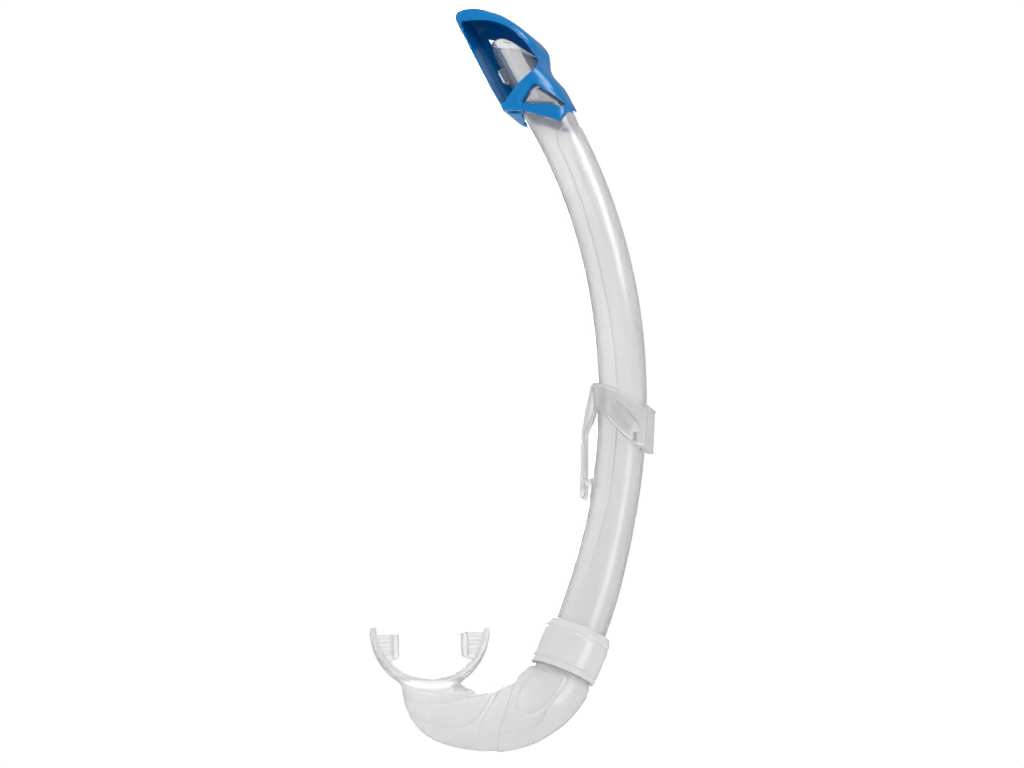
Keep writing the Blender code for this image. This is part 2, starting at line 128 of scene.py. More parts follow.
def round_meet(a, b, radius):
    """What is inside both shapes, with a round edge."""
    return np.minimum(np.maximum(a, b), -radius) + np.hypot(np.maximum(a + radius, 0), np.maximum(b + radius, 0))


def polygon(points, x, z):
    """Signed distance to a closed outline."""
    x, z = np.broadcast_arrays(x, z)
    best = np.full(x.shape, 1e9)
    inside = np.zeros(x.shape, bool)
    count = len(points)
    for i in range(count):
        (ax, az), (bx, bz) = points[i], points[(i + 1) % count]
        ex, ez = bx - ax, bz - az
        px, pz = x - ax, z - az
        t = np.clip((px * ex + pz * ez) / max(ex * ex + ez * ez, 1e-12), 0, 1)
        best = np.minimum(best, (px - ex * t) ** 2 + (pz - ez * t) ** 2)
        if az != bz:
            inside ^= ((az > z) != (bz > z)) & (px < ex * pz / ez)
    return np.where(inside, -1, 1) * np.sqrt(best)


def line_distance(points, x, z):
    """Distance to an open line, which side of it, and the place along it as a row number."""
    x, z = np.broadcast_arrays(x, z)
    best = np.full(x.shape, 1e9)
    side = np.zeros(x.shape)
    along = np.zeros(x.shape)
    for i in range(len(points) - 1):
        (ax, az), (bx, bz) = points[i][:2], points[i + 1][:2]
        ex, ez = bx - ax, bz - az
        px, pz = x - ax, z - az
        t = np.clip((px * ex + pz * ez) / (ex * ex + ez * ez), 0, 1)
        d = (px - ex * t) ** 2 + (pz - ez * t) ** 2
        near = d < best
        best = np.where(near, d, best)
        side = np.where(near, np.sign(ex * pz - ez * px), side)
        along = np.where(near, i + t, along)
    return np.sqrt(best), side, along


def ridge(points, x, z, width):
    """1 on a line, dying away on both sides."""
    distance, _, _ = line_distance(points, x, z)
    return np.exp(-(distance / width) ** 2)


def fold(points, x, z, spread):
    """1 on one side of a line, with a crisp edge, dying away over the spread."""
    distance, side, _ = line_distance(points, x, z)
    signed = distance * side
    return 0.5 * (1 + np.tanh(signed / 0.3)) * np.exp(-np.maximum(signed, 0) / spread)


# Meshes

def surface_nets(field, low, high, step):
    """Quads on the zero surface of a field sampled on a grid."""
    low = np.array(low, float)
    axes = [np.arange(low[k], high[k] + step, step) for k in range(3)]
    shape = [len(a) for a in axes]
    values = np.broadcast_to(field(*np.meshgrid(*axes, indexing="ij", sparse=True)), shape)
    inside = values < 0
    n = [k - 1 for k in shape]
    count = np.zeros(n, np.int8)
    for i, j, k in np.ndindex(2, 2, 2):
        count += inside[i:i + n[0], j:j + n[1], k:k + n[2]]
    cells = np.argwhere((count > 0) & (count < 8))
    number = np.full(n, -1, np.int64)
    number[tuple(cells.T)] = np.arange(len(cells))
    total, hits = np.zeros((len(cells), 3)), np.zeros(len(cells))
    for axis in range(3):
        others = [k for k in range(3) if k != axis]
        for shift in np.ndindex(2, 2):
            start = cells.copy()
            start[:, others] += shift
            end = start.copy()
            end[:, axis] += 1
            first, last = values[tuple(start.T)], values[tuple(end.T)]
            cross = (first < 0) != (last < 0)
            point = start[cross].astype(float)
            point[:, axis] += first[cross] / (first[cross] - last[cross])
            total[cross] += point
            hits[cross] += 1
    faces = []
    for axis in range(3):
        second, third = (axis + 1) % 3, (axis + 2) % 3
        span = [slice(0, n[k]) if k == axis else slice(1, n[k]) for k in range(3)]
        here = inside[tuple(span)]
        span[axis] = slice(1, n[axis] + 1)
        where = np.argwhere(here != inside[tuple(span)])
        outward = here[tuple(where.T)]
        base = where + [0 if k == axis else 1 for k in range(3)]
        quad = []
        for p, q in ((-1, -1), (0, -1), (0, 0), (-1, 0)):
            cell = base.copy()
            cell[:, second] += p
            cell[:, third] += q
            quad.append(number[tuple(cell.T)])
        quad = np.stack(quad, 1)
        quad[~outward] = quad[~outward][:, ::-1]
        faces.append(quad)
    verts = total / hits[:, None] * step + low
    return settle(verts, field, step), np.concatenate(faces)


def settle(verts, field, step):
    """Moves points onto the exact surface in two Newton steps."""
    h = 0.04
    for _ in range(2):
        value = field(*verts.T)
        slope = np.stack([(field(*(verts + d).T) - field(*(verts - d).T)) / (2 * h) for d in np.eye(3) * h], 1)
        size = np.maximum((slope ** 2).sum(1), 0.05)
        move = -slope * (value / size)[:, None]
        length = np.maximum(np.linalg.norm(move, axis=1), 1e-9)
        verts = verts + move * np.minimum(1, 0.5 * step / length)[:, None]
    return verts


def in_frame(points, origin, axes):
    """Local millimetres to the frame's; the rows of axes are the local axes."""
    return origin + points @ axes


def link_object(name, data):
    """Object for a mesh, camera or light, put in the scene."""
    thing = bpy.data.objects.new(name, data)
    bpy.context.scene.collection.objects.link(thing)
    return thing


def field_object(name, points, faces, material, smooth_angle=50):
    """Smooth mesh object from points in the frame's millimetres and faces."""
    mesh = bpy.data.meshes.new(name)
    mesh.from_pydata((np.asarray(points) * MM).tolist(), [], np.asarray(faces).tolist())
    mesh.update()
    mesh.materials.append(material)
    mesh.shade_smooth()
    mesh.set_sharp_from_angle(angle=radians(smooth_angle))
    return link_object(name, mesh)


def cap_object(name, bm, material):
    """Mesh object from a bmesh in the cap layout, which it frees."""
    places = in_frame(np.array([v.co for v in bm.verts]), CAP_ORIGIN, CAP_AXES)
    for vert, place in zip(bm.verts, places):
        vert.co = Vector(place * MM)
    mesh = bpy.data.meshes.new(name)
    bm.to_mesh(mesh)
    bm.free()
    mesh.materials.append(material)
    return link_object(name, mesh)


def grid_faces(rows, columns):
    """Quads of a grid whose last row and column meet its first."""
    i, j = np.arange(rows)[:, None], np.arange(columns)[None, :]
    k, m = (j + 1) % columns, (i + 1) % rows
    quads = [i * columns + j, i * columns + k, m * columns + k, m * columns + j]
    return np.stack([q.ravel() for q in np.broadcast_arrays(*quads)], 1)


# Materials

def set_range(node, low, high, first, last):
    """Sets a Map Range node to go from first at low to last at high."""
    for socket, value in (("From Min", low), ("From Max", high), ("To Min", first), ("To Max", last)):
        node.inputs[socket].default_value = value


class Finish:
    """A Principled material whose colour, roughness and relief come from noise in object space."""

    def __init__(self, name, settings):
        self.material = bpy.data.materials.new(name)
        self.material.use_nodes = True
        self.nodes = self.material.node_tree.nodes
        self.links = self.material.node_tree.links
        self.shader = self.nodes["Principled BSDF"]
        self.place = self.nodes.new("ShaderNodeTexCoord").outputs["Object"]
        self.normal = None
        for socket, value in settings.items():
            self.shader.inputs[socket].default_value = value

    def noise(self, scale, detail=3.0, stretch=(1, 1, 1)):
        mapping = self.nodes.new("ShaderNodeMapping")
        mapping.inputs["Scale"].default_value = stretch
        self.links.new(self.place, mapping.inputs["Vector"])
        texture = self.nodes.new("ShaderNodeTexNoise")
        texture.inputs["Scale"].default_value = scale
        texture.inputs["Detail"].default_value = detail
        self.links.new(mapping.outputs["Vector"], texture.inputs["Vector"])
        return texture.outputs["Fac"]

    def colour(self, source, *shades):
        blend = self.nodes.new("ShaderNodeValToRGB")
        for stop, place, shade in zip(blend.color_ramp.elements, (0.35, 0.65), shades):
            stop.position, stop.color = place, (*shade, 1)
        self.links.new(source, blend.inputs["Fac"])
        self.links.new(blend.outputs["Color"], self.shader.inputs["Base Color"])

    def span(self, source, first, last, low=0.3, high=0.7):
        """First to last as the source goes from low to high; noise mostly stays from 0.3 to 0.7."""
        node = self.nodes.new("ShaderNodeMapRange")
        set_range(node, low, high, first, last)
        self.links.new(source, node.inputs["Value"])
        return node.outputs["Result"]

    def rough(self, source, low, high):
        self.links.new(self.span(source, low, high), self.shader.inputs["Roughness"])

    def clearer_above(self, source, low, high):
        """Roughness of a frosted tube that turns glassy between two heights, unevenly."""
        height = self.nodes.new("ShaderNodeSeparateXYZ")
        self.links.new(self.place, height.inputs["Vector"])
        total = self.nodes.new("ShaderNodeMath")
        self.links.new(self.span(height.outputs["Z"], 0.25, 0.11, low, high), total.inputs[0])
        self.links.new(self.span(source, -0.03, 0.015), total.inputs[1])
        self.links.new(total.outputs[0], self.shader.inputs["Roughness"])

    def relief(self, source, strength, depth):
        bump = self.nodes.new("ShaderNodeBump")
        bump.inputs["Strength"].default_value = strength
        bump.inputs["Distance"].default_value = depth
        self.links.new(source, bump.inputs["Height"])
        if self.normal:
            self.links.new(self.normal, bump.inputs["Normal"])
        self.normal = bump.outputs["Normal"]
        self.links.new(self.normal, self.shader.inputs["Normal"])

    def absorb(self, colour, density):
        volume = self.nodes.new("ShaderNodeVolumeAbsorption")
        volume.inputs["Color"].default_value = (*colour, 1)
        volume.inputs["Density"].default_value = density
        output = next(n for n in self.nodes if n.type == "OUTPUT_MATERIAL")
        self.links.new(volume.outputs["Volume"], output.inputs["Volume"])


def blue_plastic():
    finish = Finish("blue_plastic", {"IOR": 1.45, "Specular IOR Level": 0.26})
    finish.colour(finish.noise(45, 4), (0.0005, 0.178, 0.490), (0.0009, 0.212, 0.555))
    finish.rough(finish.noise(260, 4), 0.18, 0.28)
    finish.relief(finish.noise(1500, 2), 0.05, 0.00008)
    finish.relief(finish.noise(60, 2, (1, 1, 0.4)), 0.04, 0.0006)
    return finish.material


def clear_tube():
    finish = Finish("clear_tube", {"IOR": 1.39, "Transmission Weight": 0.82})
    finish.colour(finish.noise(40, 3, (1, 1, 0.3)), (0.90, 0.90, 0.902), (0.95, 0.95, 0.952))
    finish.clearer_above(finish.noise(240, 4, (1, 1, 0.3)), 0.178, 0.202)
    finish.relief(finish.noise(2200, 2), 0.03, 0.00006)
    finish.absorb((0.72, 0.72, 0.725), 60.0)
    return finish.material


def clear_keeper():
    finish = Finish("clear_keeper", {"IOR": 1.42, "Transmission Weight": 0.66})
    finish.colour(finish.noise(80, 3), (0.94, 0.94, 0.94), (0.98, 0.98, 0.98))
    finish.rough(finish.noise(320, 4), 0.10, 0.18)
    finish.relief(finish.noise(160, 2), 0.03, 0.0004)
    finish.absorb((0.88, 0.88, 0.88), 8.0)
    return finish.material


def clear_silicone():
    finish = Finish("clear_silicone", {"IOR": 1.37, "Transmission Weight": 0.64})
    finish.colour(finish.noise(60, 3), (0.955, 0.955, 0.955), (0.985, 0.985, 0.985))
    finish.rough(finish.noise(300, 4), 0.15, 0.24)
    finish.relief(finish.noise(75, 1), 0.04, 0.0006)
    finish.absorb((0.90, 0.90, 0.90), 8.0)
    return finish.material


def milky_silicone():
    finish = Finish("milky_silicone", {"IOR": 1.36, "Transmission Weight": 0.38})
    finish.colour(finish.noise(70, 3), (0.955, 0.955, 0.955), (0.985, 0.985, 0.985))
    finish.rough(finish.noise(280, 4), 0.17, 0.25)
    finish.relief(finish.noise(1400, 3), 0.05, 0.00010)
    finish.absorb((0.90, 0.90, 0.90), 8.0)
    return finish.material


BLUE, TUBE, GLASSY, SILICONE, MILKY = (blue_plastic(), clear_tube(), clear_keeper(), clear_silicone(),
                                       milky_silicone())


# Splash guard, in the cap layout: e out of the bend, y across, s up the neck

GUARD_PROFILE = np.vstack([
    [(14.0, -8), (-18.5, -8)],
    smooth_line([(-18.5, 70), (-18.5, 84), (-18.2, 88.6), (-17.0, 91.6), (-14.6, 92.5), (-11.8, 91.4),
                 (-8.6, 89.0), (-4.2, 85.0), (1.0, 79.2), (6.0, 72.2), (10.0, 64.6), (12.8, 57.6),
                 (14.2, 51.8), (14.3, 48.4), (13.3, 45.0), (11.8, 41.6), (11.0, 38.0), (11.4, 33.6),
                 (12.6, 28.0), (13.7, 23.5), (14.1, 18.0), (14.1, 8.0), (14.0, -6.0)], 5)])
GUARD_HALF = curve([(-4, 15.2), (6, 15.3), (16, 16.4), (26, 17.0), (78, 17.0), (86, 15.6), (90, 12.8), (93, 9.0)])
GUARD_ROUND = curve([(-4, 12.4), (20, 12.2), (34, 10.8), (46, 9.4), (56, 7.4), (66, 5.8), (80, 4.8), (93, 3.6)])
GUARD_FACET = curve([(-4, 24.1), (16, 24.3), (27, 24.7), (34, 25.6), (42, 28.4), (60, 36.0), (93, 50.0)])
GUARD_FOOT = [(-40, 22), (-18.5, 22), (-8.5, 15.2), (6.8, -1.8), (11.0, 2.2), (14.2, 8.2), (40, 8.2),
              (40, -20), (-40, -20)]
GUARD_WINDOW = smooth_line([(-17.1, 27.0), (-17.1, 55.0), (-16.2, 79.6), (-12.8, 80.4), (-6.0, 76.3), (1.2, 70.0),
                            (6.8, 61.8), (10.4, 51.5), (11.2, 42.0), (8.8, 34.4), (3.0, 31.6), (-5.0, 29.6),
                            (-12.5, 26.6)], 4, closed=True)
GUARD_TRIANGLE = [(4.2, 24.1), (3.4, 24.2), (-5.4, 19.6), (-5.7, 18.9), (11.5, 7.2), (12.0, 7.9)]


def far_window(e, y, s):
    """Bounds of the far side's window, which is set back from the front edge and lower under the roof."""
    return np.where(y > 0, np.maximum(np.maximum(-12.8 - e, e - 0.5), (s + e - 67.2) / 1.414), -50)


def guard_field(e, y, s):
    side = np.abs(y)
    profile = polygon(GUARD_PROFILE, e, s)
    flank = side - GUARD_HALF(s)
    back = ramp(e, -13, 0)
    edge = GUARD_ROUND(s) * back + 3.4 * (1 - back)
    facet = (e + side - GUARD_FACET(s)) / 1.414
    outer = meet(round_meet(profile, flank, edge), facet, 0.5)
    inner = meet(round_meet(profile + GUARD_WALL, flank + GUARD_WALL, edge - GUARD_WALL + 0.4),
                 facet + GUARD_WALL, 0.5)
    shell = meet(outer, -inner, 0.6)
    foot = polygon(GUARD_FOOT, e, s)
    clear_of_barrel = 13.15 - np.hypot(e, y)
    triangle = polygon(GUARD_TRIANGLE, e, s) - 0.8
    boss = meet(meet(outer, triangle - 2.2, 1.0), clear_of_barrel, 0.4)
    shell = join(shell, boss, 0.8)
    lip = meet(meet(outer - 0.3, np.abs(triangle - 0.35) - 0.4, 0.3), -outer - 1.0, 0.2)
    shell = join(shell, lip, 0.3)
    brim = meet(meet(outer - 0.25, np.abs(polygon(GUARD_WINDOW, e, s) - 0.5) - 0.5, 0.4), -outer - 1.0, 0.2)
    shell = join(shell, brim, 0.6)
    ledge = meet(meet(outer, foot - 1.9, 0.5), np.maximum(e + 9.0, clear_of_barrel), 0.4)
    shell = join(shell, ledge, 0.8)
    drain = np.maximum(np.hypot((e + 13.4) / 1.25, side - 11.0) - 2.6, s - 30)
    shell = meet(shell, -drain, 0.5)
    shell = meet(shell, -foot, 0.8)
    shell = meet(shell, -np.maximum(np.maximum(9.5 - e, s - 8.0), 2.0 - y), 0.5)
    window = np.maximum(polygon(GUARD_WINDOW, e, s), far_window(e, y, s))
    shell = meet(shell, -window, 0.8)
    return meet(shell, -triangle, 0.5)


def make_guard():
    verts, faces = surface_nets(guard_field, (-20.5, -19, -3), (18.5, 19, 95), 0.42)
    guard = field_object("splash_guard_hood", in_frame(verts, CAP_ORIGIN, CAP_AXES), faces, BLUE)
    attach(guard, "tube")
    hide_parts("splash_guard")


# Barrel: s is the distance up from the top of the bend, turn goes round it from the outside of the bend

BARREL_FOOT = -BEND_R * (TOP_ANGLE - COLLAR_ANGLE)
TUBE_R = curve([(BARREL_FOOT + 9, 14.4), (BARREL_FOOT + 24, 14.4), (-240, 13.45), (-200, 13.4), (-110, 13.4),
                (-50, 13.0), (0, 12.75), (24, 12.75)])
CREASE = curve([(BARREL_FOOT, 92), (-290, 91), (-255, 86), (-225, 81), (-196, 79.5), (-165, 81), (-135, 86),
                (-100, 92), (-60, 93), (0, 91)])
CREASE_DEPTH = curve([(BARREL_FOOT, 0.10), (-270, 0.22), (-235, 0.50), (-195, 0.78), (-140, 0.72),
                      (-80, 0.55), (-30, 0.75), (0, 0.80), (24, 0.1)])
PANEL_TOP, PANEL_CORNER = -4.4, 8.0
NECK_LIP = curve([(-10.8, 65.4), (-6.3, 64.2), (-0.1, 61.2), (4.0, 56.0), (7.0, 50.0), (10.8, 43.0)])


def course_place(out, side, s):
    """The frame's millimetres for places along the barrel."""
    turn = TOP_ANGLE + np.clip(s, BARREL_FOOT, 0) / BEND_R
    rest = s - np.clip(s, BARREL_FOOT, 0)
    x = ARC[0] + (BEND_R + out) * np.cos(turn) - rest * np.sin(turn)
    z = ARC[2] + (BEND_R + out) * np.sin(turn) + rest * np.cos(turn)
    return np.stack(np.broadcast_arrays(x, side, z), -1)


def barrel_turns(crease):
    """Angles round the barrel, close together on both sides of each crease."""
    near = np.array([0.25, 0.6, 1.1]) / 42
    even = np.linspace(0.045, 0.955, 62)
    share = np.concatenate([near, even, 1 - near[::-1]])
    front = -crease[:, None] + 2 * crease[:, None] * share
    rear = crease[:, None] + (tau - 2 * crease[:, None]) * share
    return np.concatenate([front, rear], 1)


def outside_radius(s, turn, crease):
    """Radius with the spigot step, the shoulder, the long side panel and the neck's front rib."""
    radius = TUBE_R(s)
    turned = np.abs((turn + pi) % tau - pi)
    panel = round_meet((turned - crease[:, None]) * 13.0, s - PANEL_TOP, PANEL_CORNER)
    outside = ramp(panel, -0.25, 0.25) * np.exp(-np.maximum(panel, 0) / 6.0)
    groove = 0.35 * np.exp(-(panel / 0.4) ** 2) * ramp(s, BARREL_FOOT, -250)
    radius = radius - (CREASE_DEPTH(s) * outside + groove) * ramp(s, 27, 20)
    radius = radius + (NECK_R - radius) * ramp(s, NECK_FROM, NECK_FROM + 4)
    rib = ramp(np.abs(turned - pi) * NECK_R, 2.4, 1.0) * ramp(s, 27, 29) * ramp(s, 63, 61)
    radius = radius + 0.9 * rib
    return radius + (13.0 - radius) * ramp(s, BARREL_FOOT + 9.2, BARREL_FOOT + 8)


def make_barrel():
    low = BARREL_FOOT - 12.5
    rows = np.concatenate([
        np.linspace(low, BARREL_FOOT + 7, 8), np.linspace(BARREL_FOOT + 7.8, BARREL_FOOT + 10, 8),
        np.arange(BARREL_FOOT + 11, -17, 1.3), np.arange(-17, -2.8, 0.35), np.arange(-2.4, 23.4, 1.0)])
    crease = np.radians(CREASE(rows))
    turns = barrel_turns(crease)
    s = np.repeat(rows[:, None], turns.shape[1], 1)
    upper = turns[-1]
    end = NECK_LIP(NECK_R * np.cos(upper))
    share = np.concatenate([np.linspace(0, 0.12, 14), np.linspace(0.15, 1, 40)])[:, None]
    neck = NECK_FROM + (end - NECK_FROM) * share
    s = np.vstack([s, neck])
    turns = np.vstack([turns, np.repeat(upper[None], len(share), 0)])
    crease = np.concatenate([crease, np.repeat(crease[-1], len(share))])
    outer = outside_radius(s, turns, crease)
    rim = np.linspace(0, pi, 9)[1:-1, None]
    rim_r = outer[-1] - BARREL_WALL / 2 * (1 - np.cos(rim))
    rim_s = s[-1] + BARREL_WALL / 2 * np.sin(rim)
    bore_s = s[::-1][::2]
    bore_turns = turns[::-1][::2]
    plain = np.where(bore_s > NECK_FROM, NECK_R, TUBE_R(bore_s)) - BARREL_WALL
    bore = plain + (NECK_R - BARREL_WALL - plain) * ramp(bore_s, 22, 27)
    bore = bore + (11.4 - bore) * ramp(bore_s, BARREL_FOOT + 12, BARREL_FOOT + 7)
    bore[0] = outer[-1] - BARREL_WALL
    radius = np.vstack([outer, rim_r, bore])
    s = np.vstack([s, rim_s, bore_s])
    turns = np.vstack([turns, np.repeat(upper[None], len(rim), 0), bore_turns])
    points = course_place(radius * np.cos(turns), radius * np.sin(turns), s).reshape(-1, 3)
    barrel = field_object("barrel_tube", points, grid_faces(*s.shape), TUBE, 60)
    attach(barrel, "tube")
    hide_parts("barrel")
    for thing in (front_hook(), snap_lug("snap_lug_near", -1), snap_lug("snap_lug_far", 1)):
        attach(thing, "tube")


def front_hook():
    """Rounded block on the front of the neck."""
    low, high = np.array([-13.6, -2.5, 42.4]), np.array([-9.4, 2.5, 51.0])
    bm = bmesh.new()
    bmesh.ops.create_cube(bm, size=1.0)
    for vert in bm.verts:
        vert.co = Vector((low + high) / 2 + np.array(vert.co) * (high - low))
    bmesh.ops.bevel(bm, geom=bm.edges[:], offset=0.9, segments=4, profile=0.5, affect="EDGES")
    hook = cap_object("front_hook", bm, TUBE)
    hook.data.shade_smooth()
    return hook


def snap_lug(name, side):
    """Faceted pyramid on a low rim, standing in the guard's triangular window."""
    base = np.array([(3.7, 22.5), (-3.8, 18.8), (9.6, 9.9)])
    middle = base.mean(0)
    rings = []
    for scale, height in ((1.10, 12.0), (1.10, 15.5), (0.97, 15.75), (0.84, 15.1)):
        rings.append([(*(middle + (corner - middle) * scale), height) for corner in base])
    points = [(e, side * y, s) for ring in rings for e, s, y in ring]
    points.append((2.6, side * 13.6, 17.2))
    faces = [(0, 1, 2)]
    for ring in range(3):
        for k in range(3):
            a, b = ring * 3 + k, ring * 3 + (k + 1) % 3
            faces.append((a, b, b + 3, a + 3))
    faces += [(9 + k, 9 + (k + 1) % 3, 12) for k in range(3)]
    bm = bmesh.new()
    verts = [bm.verts.new(p) for p in points]
    for face in faces:
        bm.faces.new([verts[i] for i in face])
    bmesh.ops.recalc_face_normals(bm, faces=bm.faces)
    bmesh.ops.bevel(bm, geom=bm.edges[:], offset=0.16, segments=2, profile=0.5, affect="EDGES")
    return cap_object(name, bm, GLASSY)


# Keeper, in the frame's millimetres

LEAF_RIBS = [smooth_line([(1.4, -5.4), (5.0, -8.0), (10.0, -13.3), (14.2, -19.4), (15.9, -23.0)], 3),
             smooth_line([(2.0, -6.6), (5.6, -13.0), (9.4, -21.2)], 3),
             smooth_line([(4.6, -9.6), (7.8, -15.4), (10.8, -21.1)], 3)]
ARM_OUTLINE = np.array(
    [(5.6, 34.9), (6.0, 33.2), (5.6, 22.0), (4.7, 18.2), (3.3, 14.8), (1.6, 11.6), (0.5, 9.2), (0.0, 7.2),
     (0.0, -23.0), (-0.5, -28.6), (-1.0, -29.1), (-2.4, -29.1), (-2.8, -28.4), (-2.5, -22.0), (-2.3, -10.0),
     (-2.1, 0.0), (-1.8, 6.0), (-1.1, 12.0), (0.7, 21.0), (2.5, 29.0), (3.3, 33.2), (3.9, 34.7), (4.8, 35.3)])


def band_field(x, y, z):
    across, up = x - ARC[0], z - ARC[2]
    out = np.hypot(across, up) - BEND_R
    rise = np.arctan2(up, across) * BEND_R
    side = np.abs(y)
    top = (rise - 1.5 + 0.53 * out) / 1.13
    foot = (-19.2 - 12.2 * np.sin(pi / 2 * np.clip(out / 18, -1, 1)) - rise) / 1.2
    sleeve = np.hypot(out, y) - 15.6
    plate = np.hypot(np.maximum(np.abs(out - 10.5) - 5.5, 0), np.maximum(side - 6.0, 0)) - 0.9
    body = join(sleeve, plate, 3.0)
    for rib in LEAF_RIBS:
        body = body - 1.3 * ridge(rib, out, rise, 0.42) * ramp(side, 2.5, 6.0)
    for edge in (top, foot):
        body = body - 0.5 * np.exp(-((edge + 0.8) / 0.5) ** 2)
    for place in (3.1, 0.0):
        body = body + 0.35 * np.exp(-((side - place) / 0.3) ** 2) * ramp(out, 12, 15)
    band = meet(meet(body, top, 0.9), foot, 0.9)
    pocket = np.maximum(np.maximum(np.abs(out - 13.0) - 2.0, 6.9 - side), np.abs(rise + 26.0) - 2.6)
    band = meet(band, -pocket, 0.4)
    return meet(band, 13.75 - np.hypot(out, y), 0.5)


def arm_field(x, y, z):
    side = np.abs(y)
    blade = round_meet(polygon(ARM_OUTLINE, x, z), side - 3.25, 0.7)
    channel = np.maximum(np.maximum(side - 1.7, x + 1.9), np.abs(z + 6) - 19)
    blade = meet(blade, -channel, 0.5)
    peg = round_meet(np.hypot(y, z + 20.5) - 2.4, np.abs(x - 1.4) - 2.4, 0.6)
    blade = join(blade, peg, 0.8)
    slot = np.maximum(side - 0.75, z + 25.2)
    return meet(blade, -slot, 0.4)


def make_keeper():
    verts, faces = surface_nets(band_field, (2.5, -18, -8), (40.5, 18, 39), 0.42)
    band = field_object("keeper_sleeve", verts, faces, GLASSY)
    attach(band, "keeper")
    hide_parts("keeper_band")
    verts, faces = surface_nets(arm_field, (-4, -4.5, -31), (7.5, 4.5, 37), 0.36)
    arm = field_object("keeper_spring_arm", verts, faces, GLASSY)
    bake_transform(arm)
    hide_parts("keeper_arm")


# Mouthpiece, in its own layout plane: x towards the collar, z up, y through

COLLAR_PROFILE = smooth_line([(15.6, 12.8), (16.8, 12.8), (18.0, 9.6), (18.4, 5.0), (18.4, 0.0), (18.3, -5.0),
                              (18.2, -9.0), (17.9, -12.8), (16.3, -12.8), (16.3, 10.4), (15.7, 11.0)], 1, True)
ELBOW = smooth_line([
    (4.07, 9.14, 15.5, 15.5), (0.0, 0.0, 15.5, 15.5), (-5.5, -12.4, 15.7, 15.6), (-7.6, -17.4, 17.2, 16.6),
    (-11.6, -21.4, 18.0, 16.8), (-17.0, -26.6, 18.0, 17.0), (-23.0, -31.0, 17.5, 16.6),
    (-29.6, -34.4, 17.4, 16.0), (-38.0, -36.4, 17.2, 15.6), (-46.5, -36.9, 16.5, 15.2),
    (-55.0, -36.4, 16.3, 14.8), (-63.4, -34.4, 16.4, 14.2), (-70.0, -31.0, 16.8, 13.6),
    (-74.2, -26.6, 16.4, 13.0), (-76.8, -21.0, 15.8, 12.5), (-77.9, -14.0, 15.6, 12.4),
    (-77.9, -8.0, 15.6, 12.4)], 3)
LOOP_INNER = smooth_line([(-22.5, -13.6), (-28.0, -22.0), (-30.3, -28.4), (-29.0, -34.0), (-23.4, -36.2),
                          (-15.4, -31.6), (-7.0, -20.6), (-4.4, -13.8)], 3)
LOOP_OUTER = smooth_line([(-12.0, -29.6), (-14.9, -33.4), (-16.8, -37.6), (-21.6, -42.4), (-29.9, -45.4),
                          (-38.0, -46.8)], 3)
TWIST_NEAR = smooth_line([(-28.6, -8.0), (-33.0, -21.0), (-36.5, -32.0), (-40.8, -44.0), (-42.0, -53.0)], 3)
TWIST_FAR = smooth_line([(-38.0, -17.0), (-42.6, -26.0), (-48.4, -36.0), (-52.6, -46.0), (-52.8, -53.0)], 3)
CHAMBER_LINES = [
    smooth_line([(-89.0, -33.0), (-80.0, -39.0), (-68.0, -42.6), (-56.0, -40.5), (-49.0, -33.0), (-44.5, -25.0)], 3),
    smooth_line([(-85.0, -20.5), (-74.0, -23.0), (-62.0, -24.5), (-54.0, -24.0), (-47.0, -22.5)], 3),
    smooth_line([(-92.0, -25.0), (-82.0, -28.5), (-70.0, -28.5), (-60.0, -26.5)], 3)]


def elbow_values(x, z):
    """Across the elbow's centreline: signed distance, half width and half depth."""
    distance, side, along = line_distance(ELBOW, x, z)
    rows = np.arange(len(ELBOW))
    place = np.interp(along, rows, ELBOW[:, 0])
    width = np.interp(along, rows, ELBOW[:, 2])
    depth = np.interp(along, rows, ELBOW[:, 3])
    outer_side = side < 0
    bulge = 0.2 * np.exp(-((along - 36.5) / 3.2) ** 2) + 0.7 * np.exp(-((place + 32.0) / 7.0) ** 2)
    width = width + np.where(outer_side, bulge, 0)
    return distance, width, depth


def ellipse_distance(across, y, width, depth):
    """Distance to an ellipse, exact near it."""
    q = np.sqrt((across / width) ** 2 + (y / depth) ** 2) + 1e-6
    slope = np.sqrt((across / width ** 2) ** 2 + (y / depth ** 2) ** 2) / q + 1e-6
    return (q - 1) / slope


def arch_distance(x, z, inset):
    """Distance to the ellipse that the flange follows, made smaller by the inset."""
    q = np.sqrt(((x - MOUTH_X) / (ARCH_HALF - inset)) ** 2 + ((z - ARCH_Z) / (ARCH_DEEP - inset)) ** 2) + 1e-6
    slope = np.sqrt(((x - MOUTH_X) / (ARCH_HALF - inset) ** 2) ** 2 + ((z - ARCH_Z) / (ARCH_DEEP - inset) ** 2) ** 2)
    return (q - 1) * q / np.maximum(slope, 1e-4)


